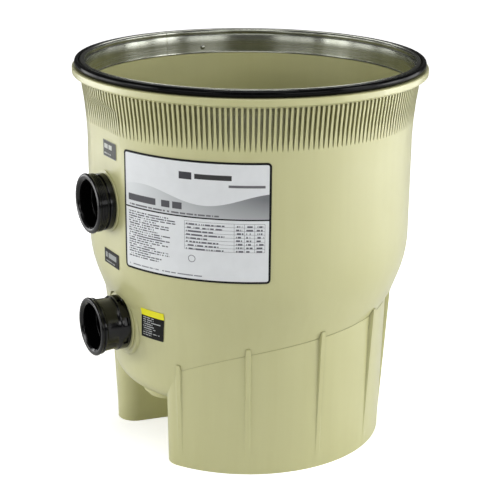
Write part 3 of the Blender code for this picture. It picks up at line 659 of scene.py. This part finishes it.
def outlet_bulkhead():
    """A thin mouth ring, a smooth sleeve, and a drum with eight spanner pockets cut round it."""
    seat, m = OUTLET_SEAT + STAND_OFF, MOUTH
    front = seat + 0.0140
    outline = [
        (0.0346, m - 0.0034, 0.0010), (0.0376, m - 0.0008, 0.0020), (0.0404, m, 0.0030),
        (0.0433, m - 0.0008, 0.0014), (0.0443, m - 0.0024, 0.0010), (0.0443, m - 0.0038, 0.0014),
        (0.0418, m - 0.0054, 0.0008), (0.0418, m - 0.0064, 0.0004),
        (0.0430, m - 0.0072, 0.0004), (0.0430, m - 0.0100, 0.0008), (0.0402, m - 0.0124, 0.0010),
        (0.0391, front + 0.0050, 0.0010), (0.0397, front + 0.0010, 0.0010),
        (0.0414, front - 0.0004, 0.0008), (0.0414, seat + 0.0004, 0.0004),
        (0.0405, seat), (0.0397, seat), (0.0397, seat + 0.0032),
        (0.0353, seat + 0.0032), (0.0353, seat), (0.0335, seat), (0.0335, 0.1800, 0.0006), (0.0285, 0.1800),
        (0.0285, seat + 0.0245), (0.0338, seat + 0.0245, 0.0006), (0.0342, m - 0.0060, 0.0010),
    ]
    body = lathe("outlet_fitting", loop_fillets(outline), port(OUTLET_Z), 128)
    for number in range(8):
        turn = Matrix.Rotation(math.radians(45 * number + 20), 4, "Z")
        corners = [(-0.0062, 0.0388), (0.0062, 0.0388), (0.0062, 0.0440), (-0.0062, 0.0440)]
        tool = prism("pocket", corners, seat + 0.0040, seat + 0.0108, port(OUTLET_Z) @ turn)
        carve(body, "DIFFERENCE", tool)
    return shade(body, 32)


def drain_plug():
    """A flush screw plug with a six-sided socket, a groove for its seal and a ridged stem."""
    drain = Matrix.Translation((0, DRAIN_Y, 0))
    line = [(0.0335, 0.0740), (0.0347, 0.0745), (0.0350, 0.0756), (0.0350, 0.0785), (0.0342, 0.0797)]
    line += [(0.0300, 0.0797), (0.0300, 0.0770), (0.0268, 0.0770), (0.0268, 0.0797), (0.0240, 0.0800)]
    for start in (0.0820, 0.0850, 0.0880, 0.0910):
        line += [(0.0240, start), (0.0232, start + 0.0009)]
        line += [(0.0232, start + 0.0014), (0.0240, start + 0.0022)]
    line += [(0.0240, 0.0938), (0.0233, 0.0945)]
    body = solid_lathe("drain_plug_head", line, drain, 72)
    return shade(carve(body, "DIFFERENCE", plug_of(0.0110, 0.0700, 0.0830, drain, 6)))


def spacer(name, height, seat):
    """A thin ring between the tank and a fitting, with a small tab on its edge."""
    low, high = seat + 0.0003, seat + 0.0023
    edge = 0.0006
    outline = [
        (HOLE_RADIUS, high), (0.0455, high, edge), (0.0455, low, edge), (HOLE_RADIUS, low),
    ]
    ring = lathe(name, loop_fillets(outline, 20), port(height))
    corners = [(-0.0065, 0.0440), (0.0065, 0.0440), (0.0050, 0.0463), (-0.0050, 0.0463)]
    tab = prism("tab", corners, low + 0.00005, high - 0.00005, port(height))
    return shade(carve(ring, "UNION", tab), 32)


# ---------------------------------------------------------------- labels


def label_piece(name, azimuths, heights, corner, columns, rows, tilt=0.0, print_half=None):
    """A film that follows the tank, with rounded corners.

    Its UVs run in metres from its middle. With print_half they are scaled so that they reach that
    far. The tilt is how many degrees the film's top stands further round than its middle.
    """
    middle = sum(azimuths) / 2
    half_w = math.radians(azimuths[1] - azimuths[0]) / 2 * FILM_RADIUS
    half_h = (heights[1] - heights[0]) / 2
    print_w, print_h = print_half or (half_w, half_h)
    levels = [-half_h + corner * (1 - math.cos(math.pi / 2 * i / 6)) for i in range(6)]
    inner = np.linspace(-half_h + corner, half_h - corner, rows + 1)
    levels = levels + list(inner) + [-v for v in reversed(levels)]
    points, uvs = [], []
    for v in levels:
        over = max(0.0, abs(v) - (half_h - corner))
        reach = half_w - corner + math.sqrt(max(0.0, corner**2 - over**2))
        for i in range(columns + 1):
            u = -reach + 2 * reach * i / columns
            azimuth = middle + math.degrees(u / FILM_RADIUS) + tilt * v / half_h
            z = (heights[0] + heights[1]) / 2 + v
            points.append((azimuth, surface_radius(azimuth, z), z))
            uvs.append((u / half_w * print_w, v / half_h * print_h))
    front = [at(a, r + FILM_FRONT, z) for a, r, z in points]
    back = [at(a, r + FILM_BACK, z) for a, r, z in points]
    faces, width, count = [], columns + 1, len(points)
    for j in range(len(levels) - 1):
        for i in range(columns):
            k = j * width + i
            faces.append([k, k + 1, k + width + 1, k + width])
            faces.append([count + k, count + k + width, count + k + width + 1, count + k + 1])
    rim = list(range(columns))
    rim += [j * width + columns for j in range(len(levels) - 1)]
    rim += [count - 1 - i for i in range(columns)]
    rim += [j * width for j in range(len(levels) - 1, 0, -1)]
    for a, b in zip(rim, rim[1:] + rim[:1]):
        faces.append([b, a, count + a, count + b])
    obj = mesh_object(name, front + back, faces, 60)
    layer = obj.data.uv_layers.new(name="film")
    for loop in obj.data.loops:
        layer.data[loop.index].uv = uvs[loop.vertex_index % count]
    return obj


# ---------------------------------------------------------------- materials


class Look:
    """One material's node tree, with short ways to add the usual nodes."""

    def __init__(self, name, colour=(0.5, 0.5, 0.5), roughness=0.5, metallic=0.0):
        self.material = bpy.data.materials.new(name)
        self.material.use_nodes = True
        self.tree = self.material.node_tree
        self.shader = self.tree.nodes["Principled BSDF"]
        self.shader.inputs["Base Color"].default_value = (*colour, 1)
        self.shader.inputs["Roughness"].default_value = roughness
        self.shader.inputs["Metallic"].default_value = metallic

    def node(self, kind, **settings):
        made = self.tree.nodes.new(kind)
        for key, value in settings.items():
            setattr(made, key, value)
        return made

    def link(self, source, target):
        self.tree.links.new(source, target)

    def place(self, scale=(1, 1, 1)):
        coordinate = self.node("ShaderNodeTexCoord")
        mapping = self.node("ShaderNodeMapping")
        mapping.inputs["Scale"].default_value = scale
        self.link(coordinate.outputs["Object"], mapping.inputs["Vector"])
        return mapping.outputs["Vector"]

    def noise(self, vector, scale, detail, roughness=0.55):
        made = self.node("ShaderNodeTexNoise")
        made.inputs["Scale"].default_value = scale
        made.inputs["Detail"].default_value = detail
        made.inputs["Roughness"].default_value = roughness
        self.link(vector, made.inputs["Vector"])
        return made.outputs["Fac"]

    def math(self, operation, a, b=0.0, c=0.0):
        made = self.node("ShaderNodeMath", operation=operation)
        for socket, value in zip(made.inputs, (a, b, c)):
            if isinstance(value, (int, float)):
                socket.default_value = value
            else:
                self.link(value, socket)
        return made.outputs[0]

    def spread(self, value, low, high, to_low, to_high):
        made = self.node("ShaderNodeMapRange")
        self.link(value, made.inputs["Value"])
        ends = {"From Min": low, "From Max": high, "To Min": to_low, "To Max": to_high}
        for name, number in ends.items():
            made.inputs[name].default_value = number
        return made.outputs["Result"]

    def mix(self, factor, a, b):
        """Mixes colours, which may be sockets or plain numbers."""
        made = self.node("ShaderNodeMix", data_type="RGBA")
        self.link(factor, made.inputs[0])
        for socket, value in ((made.inputs[6], a), (made.inputs[7], b)):
            if isinstance(value, tuple):
                socket.default_value = (*value, 1)
            else:
                self.link(value, socket)
        return made.outputs[2]

    def bump(self, height, strength, distance, normal=None):
        made = self.node("ShaderNodeBump")
        made.inputs["Strength"].default_value = strength
        made.inputs["Distance"].default_value = distance
        self.link(height, made.inputs["Height"])
        if normal is not None:
            self.link(normal, made.inputs["Normal"])
        return made.outputs["Normal"]

    def finish(self, colour, roughness, normal):
        self.link(colour, self.shader.inputs["Base Color"])
        self.link(roughness, self.shader.inputs["Roughness"])
        self.link(normal, self.shader.inputs["Normal"])
        return self.material


def cream_plastic():
    """Greenish cream under a gloss coat, with faint streaks and flecks, and with shade painted into its
    creases.
    """
    look = Look("cream_moulded_plastic", roughness=0.42)
    look.shader.inputs["Specular IOR Level"].default_value = 0.60
    look.shader.inputs["Coat Weight"].default_value = 1.0
    look.shader.inputs["Coat Roughness"].default_value = 0.28
    plain = look.place()
    cloud = look.noise(plain, 5.0, 3.0)
    darker, lighter = (0.595, 0.585, 0.285), (0.625, 0.615, 0.310)
    colour = look.mix(look.spread(cloud, 0.35, 0.65, 0.0, 1.0), darker, lighter)
    streak = look.noise(look.place((1, 1, 0.06)), 60.0, 3.0)
    colour = look.mix(look.spread(streak, 0.4, 0.75, 0.0, 0.22), colour, (0.54, 0.52, 0.23))
    fleck = look.noise(plain, 650.0, 2.0)
    colour = look.mix(look.spread(fleck, 0.62, 0.78, 0.0, 0.25), colour, (0.70, 0.69, 0.40))
    # Painted shade: ambient occlusion darkens the colour in slots, creases and joints towards a dark olive.
    crevice = look.node("ShaderNodeAmbientOcclusion", samples=6, only_local=True)
    crevice.inputs["Distance"].default_value = 0.007
    painted_crease_shade = look.spread(crevice.outputs["AO"], 0.28, 0.90, 0.62, 0.0)
    colour = look.mix(painted_crease_shade, colour, (0.13, 0.12, 0.045))
    rough = look.spread(look.noise(plain, 40.0, 4.0), 0.3, 0.7, 0.36, 0.50)
    fine = look.bump(look.noise(plain, 900.0, 3.0), 0.10, 0.0006)
    wavy = look.bump(look.noise(plain, 22.0, 2.0), 0.10, 0.004, fine)
    return look.finish(colour, rough, wavy)


def brushed_steel():
    """Steel brushed round the band, so that its highlights stand upright."""
    look = Look("brushed_steel_band", roughness=0.25, metallic=1.0)
    look.shader.inputs["Anisotropic"].default_value = 0.80
    look.shader.inputs["Anisotropic Rotation"].default_value = 0.25
    lines = look.noise(look.place((4, 4, 900)), 1.0, 6.0, 0.7)
    cloud = look.noise(look.place((1, 1, 0.3)), 24.0, 4.0)
    colour = look.mix(lines, (0.34, 0.35, 0.30), (0.50, 0.51, 0.45))
    colour = look.mix(look.spread(cloud, 0.45, 0.7, 0.0, 0.5), colour, (0.22, 0.23, 0.18))
    rough = look.spread(lines, 0.2, 0.8, 0.20, 0.32)
    return look.finish(colour, rough, look.bump(lines, 0.05, 0.0002))


def black_rubber():
    look = Look("black_rubber_seal", roughness=0.25)
    look.shader.inputs["Specular IOR Level"].default_value = 0.12
    plain = look.place()
    dust = look.noise(plain, 120.0, 5.0)
    clean, dusty = (0.0020, 0.0020, 0.0022), (0.010, 0.010, 0.010)
    colour = look.mix(look.spread(dust, 0.55, 0.8, 0.0, 0.5), clean, dusty)
    rough = look.spread(look.noise(plain, 60.0, 3.0), 0.3, 0.7, 0.15, 0.27)
    return look.finish(colour, rough, look.bump(look.noise(plain, 1200.0, 2.0), 0.06, 0.0004))


def black_plastic():
    look = Look("black_moulded_plastic", roughness=0.30)
    look.shader.inputs["Specular IOR Level"].default_value = 0.40
    plain = look.place()
    cloud = look.noise(plain, 45.0, 4.0)
    colour = look.mix(cloud, (0.0012, 0.0012, 0.0014), (0.0030, 0.0030, 0.0033))
    scuff = look.noise(look.place((1, 6, 1)), 160.0, 5.0, 0.7)
    colour = look.mix(look.spread(scuff, 0.62, 0.8, 0.0, 0.4), colour, (0.030, 0.030, 0.030))
    rough = look.spread(scuff, 0.35, 0.75, 0.10, 0.24)
    return look.finish(colour, rough, look.bump(look.noise(plain, 800.0, 3.0), 0.08, 0.0005))


def floor_paper():
    """White paper, brightened for the camera alone so that it doesn't light the tank from below."""
    look = Look("floor_paper", (0.90, 0.90, 0.90), 0.9)
    path = look.node("ShaderNodeLightPath")
    length = look.node("ShaderNodeVectorMath", operation="LENGTH")
    look.link(look.place(), length.inputs[0])
    far = look.spread(length.outputs["Value"], 0.35, 1.2, 0.60, 1.10)
    glow = look.math("MULTIPLY", path.outputs["Is Camera Ray"], far)
    look.shader.inputs["Emission Color"].default_value = (1, 1, 1, 1)
    look.link(glow, look.shader.inputs["Emission Strength"])
    return look.material


class Print(Look):
    """A printed film. Its marks are placed in metres from the film's middle, by the film's UVs."""

    def __init__(self, name, paper):
        super().__init__(name, paper, 0.38)
        self.shader.inputs["Specular IOR Level"].default_value = 0.20
        split = self.node("ShaderNodeSeparateXYZ")
        self.link(self.node("ShaderNodeTexCoord").outputs["UV"], split.inputs[0])
        self.u, self.v = split.outputs["X"], split.outputs["Y"]
        grain = self.noise(self.place(), 60.0, 4.0)
        self.colour = self.mix(grain, paper, tuple(c * 0.90 for c in paper))

    def within(self, value, low, high):
        return self.math("COMPARE", value, (low + high) / 2, (high - low) / 2)

    def area(self, u, v):
        return self.math("MULTIPLY", self.within(self.u, *u), self.within(self.v, *v))

    def ink(self, mask, colour):
        self.colour = self.mix(mask, self.colour, colour)

    def bar(self, u, v, colour):
        self.ink(self.area(u, v), colour)

    def cell(self, value, period, start):
        """The number of the row or column that a place is in."""
        return self.math("FLOOR", self.math("MULTIPLY_ADD", value, 1 / period, -start / period))

    def chance(self, a, b, seed):
        place = self.node("ShaderNodeCombineXYZ")
        self.link(a, place.inputs[0])
        self.link(b, place.inputs[1])
        place.inputs[2].default_value = seed
        noise = self.node("ShaderNodeTexWhiteNoise")
        self.link(place.outputs[0], noise.inputs["Vector"])
        return noise.outputs["Value"]

    def rows(self, u, v, period, colour, letter, fill, seed):
        """Rows of small blocks of uneven length, which stand for print and can't be read."""
        row = self.cell(self.v, period, v[0])
        inside = self.math("FRACT", self.math("MULTIPLY_ADD", self.v, 1 / period, -v[0] / period))
        line = self.math("LESS_THAN", inside, fill)
        column = self.cell(self.u, letter, u[0])
        block = self.math("GREATER_THAN", self.chance(column, row, seed), 0.24)
        still = self.chance(row, row, seed + 7.0)
        length = self.math("MULTIPLY_ADD", still, (u[1] - u[0]) * 0.55, u[0] + (u[1] - u[0]) * 0.45)
        mask = self.math("MULTIPLY", self.area(u, v), self.math("MULTIPLY", line, block))
        mask = self.math("MULTIPLY", mask, self.math("LESS_THAN", self.u, length))
        self.ink(mask, colour)

    def frame(self, half_w, half_h, corner, width, colour):
        """A line round the film's edge with rounded corners."""
        u = self.math("MAXIMUM", self.math("SUBTRACT", self.math("ABSOLUTE", self.u), half_w - corner), 0.0)
        v = self.math("MAXIMUM", self.math("SUBTRACT", self.math("ABSOLUTE", self.v), half_h - corner), 0.0)
        reach = self.math("SQRT", self.math("ADD", self.math("POWER", u, 2.0), self.math("POWER", v, 2.0)))
        self.ink(self.math("GREATER_THAN", reach, corner - width), colour)

    def done(self):
        rough = self.spread(self.noise(self.place(), 90.0, 3.0), 0.3, 0.7, 0.28, 0.44)
        normal = self.bump(self.noise(self.place(), 500.0, 2.0), 0.05, 0.0003)
        return self.finish(self.colour, rough, normal)


def rating_film():
    """White film: a header with a grey wave, and under it rows and a table of unreadable print."""
    look = Print("label_white_film", (0.86, 0.885, 0.90))
    wave = look.math("SINE", look.math("MULTIPLY_ADD", look.u, 33.0, 4.05))
    edge = look.math("MULTIPLY_ADD", wave, 0.0093, 0.0325)
    below = look.math("LESS_THAN", look.v, edge)
    header = look.area((-0.106, 0.106), (0.0056, 0.060))
    wash = look.mix(look.spread(look.u, -0.10, 0.10, 0.0, 1.0), (0.78, 0.81, 0.82), (0.20, 0.21, 0.22))
    wash = look.mix(look.spread(look.v, 0.006, 0.034, 0.40, 0.0), wash, (0.74, 0.76, 0.77))
    look.colour = look.mix(look.math("MULTIPLY", header, below), look.colour, wash)
    look.bar((-0.016, 0.002), (0.058, 0.068), (0.06, 0.06, 0.07))
    look.bar((0.006, 0.056), (0.0595, 0.0665), (0.05, 0.05, 0.05))
    look.bar((0.052, 0.100), (0.0500, 0.0535), (0.16, 0.16, 0.17))
    for start, end in ((-0.100, -0.052), (-0.043, -0.030), (-0.026, -0.012)):
        look.bar((start, end), (0.0150, 0.0245), (0.10, 0.10, 0.11))
    look.rows((-0.098, 0.098), (0.0085, 0.0125), 0.0040, (0.16, 0.16, 0.17), 0.0016, 0.55, 3.0)
    look.bar((-0.107, 0.107), (0.0046, 0.0066), (0.015, 0.015, 0.015))
    look.rows((-0.100, -0.018), (-0.0660, 0.0020), 0.00340, (0.10, 0.10, 0.12), 0.0012, 0.50, 1.0)
    table(look)
    ring = look.node("ShaderNodeVectorMath", operation="DISTANCE")
    join = look.node("ShaderNodeCombineXYZ")
    look.link(look.u, join.inputs[0])
    look.link(look.v, join.inputs[1])
    look.link(join.outputs[0], ring.inputs[0])
    ring.inputs[1].default_value = (0.0020, -0.0530, 0.0)
    look.ink(look.within(ring.outputs["Value"], 0.0042, 0.0052), (0.20, 0.20, 0.22))
    look.rows((-0.100, 0.096), (-0.0780, -0.0748), 0.0032, (0.24, 0.25, 0.27), 0.0014, 0.5, 5.0)
    look.frame(*RATING_HALF, 0.0060, 0.0030, (0.008, 0.008, 0.008))
    return look.done()


def table(look):
    """Eight ruled rows, with three narrow columns at the right."""
    left, right, low, high = -0.008, 0.100, -0.0400, 0.0000
    grey = (0.15, 0.15, 0.17)
    look.rows((left + 0.002, 0.052), (low, high), 0.0050, grey, 0.0012, 0.45, 9.0)
    for start in (0.0600, 0.0735, 0.0870):
        look.rows((start + 0.002, start + 0.012), (low, high), 0.0050, grey, 0.0011, 0.50, start * 100)
    for number in range(9):
        place = low + 0.005 * number
        look.bar((left, right), (place - 0.0002, place + 0.0002), grey)
    for place in (left, 0.0595, 0.0730, 0.0865, right):
        look.bar((place - 0.0002, place + 0.0002), (low, high), grey)


def inlet_film():
    look = Print("label_grey_film", (0.085, 0.088, 0.082))
    look.rows((-0.0180, 0.0180), (0.0000, 0.0085), 0.0085, (0.60, 0.62, 0.58), 0.0030, 0.80, 2.0)
    look.rows((-0.0180, 0.0180), (-0.0085, -0.0045), 0.0040, (0.50, 0.52, 0.50), 0.0014, 0.60, 4.0)
    look.frame(0.0216, 0.0120, 0.0016, 0.0008, (0.30, 0.31, 0.29))
    return look.done()


def outlet_film():
    look = Print("label_black_film", (0.008, 0.008, 0.008))
    look.rows((-0.0210, 0.0210), (-0.0020, 0.0080), 0.0100, (0.36, 0.38, 0.37), 0.0034, 0.80, 6.0)
    look.rows((-0.0210, 0.0210), (-0.0085, -0.0050), 0.0035, (0.30, 0.31, 0.30), 0.0014, 0.60, 8.0)
    return look.done()


def notice_film():
    """A plain two-colour film: a yellow strip over a black panel with pale bars."""
    look = Print("label_yellow_film", (0.005, 0.005, 0.005))
    look.bar((-0.030, 0.030), (0.0125, 0.0250), (0.90, 0.86, 0.03))
    look.rows((-0.0200, 0.0200), (-0.0200, 0.0105), 0.0036, (0.50, 0.52, 0.52), 0.0012, 0.42, 11.0)
    return look.done()


# ---------------------------------------------------------------- scene


def dress(obj, material):
    obj.data.materials.clear()
    obj.data.materials.append(material)


def show(obj, body, material, node):
    """Puts a finished piece on its body in place of a CAD node."""
    dress(obj, material)
    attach(obj, body)
    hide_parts(node)


def build():
    cream, steel, rubber, plastic = cream_plastic(), brushed_steel(), black_rubber(), black_plastic()
    show(tank_shell(), "tank", cream, "tank_shell")
    show(rim_band(), "tank", steel, "rim_band")
    show(band_rivet(), "tank", steel, "band_rivet")
    show(rim_seal(), "lid_seal", rubber, "tank_o_ring")
    show(inlet_bulkhead(), "tank", plastic, "inlet_bulkhead")
    show(outlet_bulkhead(), "tank", plastic, "outlet_bulkhead")
    ring = spacer("inlet_spacer_ring", INLET_Z, INLET_SEAT)
    show(ring, "tank", cream, "inlet_spacer")
    ring = spacer("outlet_spacer_ring", OUTLET_Z, OUTLET_SEAT)
    show(ring, "tank", cream, "outlet_spacer")
    show(drain_plug(), "plug", cream, "drain_plug")
    labels()
    for name, node in NODES.items():
        if node.hide_render:
            continue
        dress(node, rubber if "o_ring" in name or "washer" in name else plastic)
        shade(node)


def labels():
    rating = label_piece("rating_label_film", (14.4, 67.2), (0.3145, 0.4893), 0.006, 80, 40,
                         print_half=RATING_HALF)
    show(rating, "tank", rating_film(), "rating_label")
    inlet = label_piece("inlet_label_film", (-1.0, 9.0), (0.466, 0.490), 0.0008, 24, 8)
    show(inlet, "tank", inlet_film(), "inlet_label")
    outlet = label_piece("outlet_label_film", (-2.0, 9.5), (0.302, 0.324), 0.0008, 24, 8)
    show(outlet, "tank", outlet_film(), "outlet_label")
    notice = label_piece("notice_label_film", (15.8, 26.9), (0.2005, 0.2485), 0.0008, 20, 16, 0.9)
    show(notice, "tank", notice_film(), "notice_label")


def camera():
    data = bpy.data.cameras.new("camera")
    data.lens, data.sensor_width = LENS, SENSOR
    data.clip_start, data.clip_end = 0.05, 60
    obj = bpy.data.objects.new("camera", data)
    bpy.context.scene.collection.objects.link(obj)
    turn = Matrix.Rotation(math.radians(CAMERA_AZIMUTH), 4, "Z")
    tilt = Matrix.Rotation(math.radians(CAMERA_TILT), 4, "X")
    roll = Matrix.Rotation(math.radians(CAMERA_ROLL), 4, "Z")
    obj.matrix_world = Matrix.Translation(CAMERA_PLACE) @ turn @ tilt @ roll
    bpy.context.scene.camera = obj


def softbox(name, azimuth, distance, height, size, power):
    data = bpy.data.lights.new(name, "AREA")
    data.shape = "RECTANGLE"
    data.size, data.size_y = size
    data.energy = power
    obj = bpy.data.objects.new(name, data)
    bpy.context.scene.collection.objects.link(obj)
    obj.location = at(azimuth, distance, height)
    obj.rotation_euler = (LIGHT_TARGET - obj.location).to_track_quat("-Z", "Y").to_euler()


# Softboxes: name, azimuth, distance from the axis, height, size, watts
SOFTBOXES = (
    ("left_front", -10, 2.4, 0.80, (0.9, 0.9), 13.5),
    ("left_side", -35, 2.4, 0.45, (0.9, 0.9), 12.0),
    ("left_back", -60, 2.4, 0.45, (0.9, 0.9), 7.5),
    ("right_front", 130, 2.4, 0.45, (0.9, 0.9), 6.5),
    ("right_high", 130, 2.4, 1.50, (0.9, 0.9), 13.0),
    ("right_side", 155, 2.4, 0.60, (0.9, 0.9), 17.0),
    ("right_back", 180, 2.4, 0.45, (0.9, 0.9), 5.5),
    ("top_back", 240, 1.6, 2.0, (1.6, 1.0), 14.0),
    ("top_front", 60, 1.2, 2.4, (1.6, 1.0), 14.5),
    ("left_card", 26, 2.6, 0.95, (1.4, 0.6), 7.0),
    ("right_card", 94, 2.6, 0.95, (1.4, 0.6), 8.5),
)


def stage():
    corners = [(x * FLOOR_HALF, y * FLOOR_HALF, 0) for x, y in ((-1, -1), (1, -1), (1, 1), (-1, 1))]
    floor = mesh_object("floor", corners, [[0, 1, 2, 3]])
    dress(floor, floor_paper())
    studio()
    for box in SOFTBOXES:
        softbox(*box)
    bpy.context.scene.view_settings.view_transform = "Standard"


def studio():
    """A world that is dim as a light and white to the camera."""
    world = bpy.data.worlds.new("studio")
    bpy.context.scene.world = world
    world.use_nodes = True
    tree = world.node_tree
    output = tree.nodes["World Output"]
    lit = tree.nodes["Background"]
    seen = tree.nodes.new("ShaderNodeBackground")
    for background, strength in ((lit, WORLD_LIGHT), (seen, WORLD_SEEN)):
        background.inputs["Color"].default_value = (1.0, 1.0, 1.0, 1)
        background.inputs["Strength"].default_value = strength
    path = tree.nodes.new("ShaderNodeLightPath")
    choose = tree.nodes.new("ShaderNodeMixShader")
    tree.links.new(path.outputs["Is Camera Ray"], choose.inputs["Fac"])
    tree.links.new(lit.outputs["Background"], choose.inputs[1])
    tree.links.new(seen.outputs["Background"], choose.inputs[2])
    tree.links.new(choose.outputs["Shader"], output.inputs["Surface"])


build()
camera()
stage()
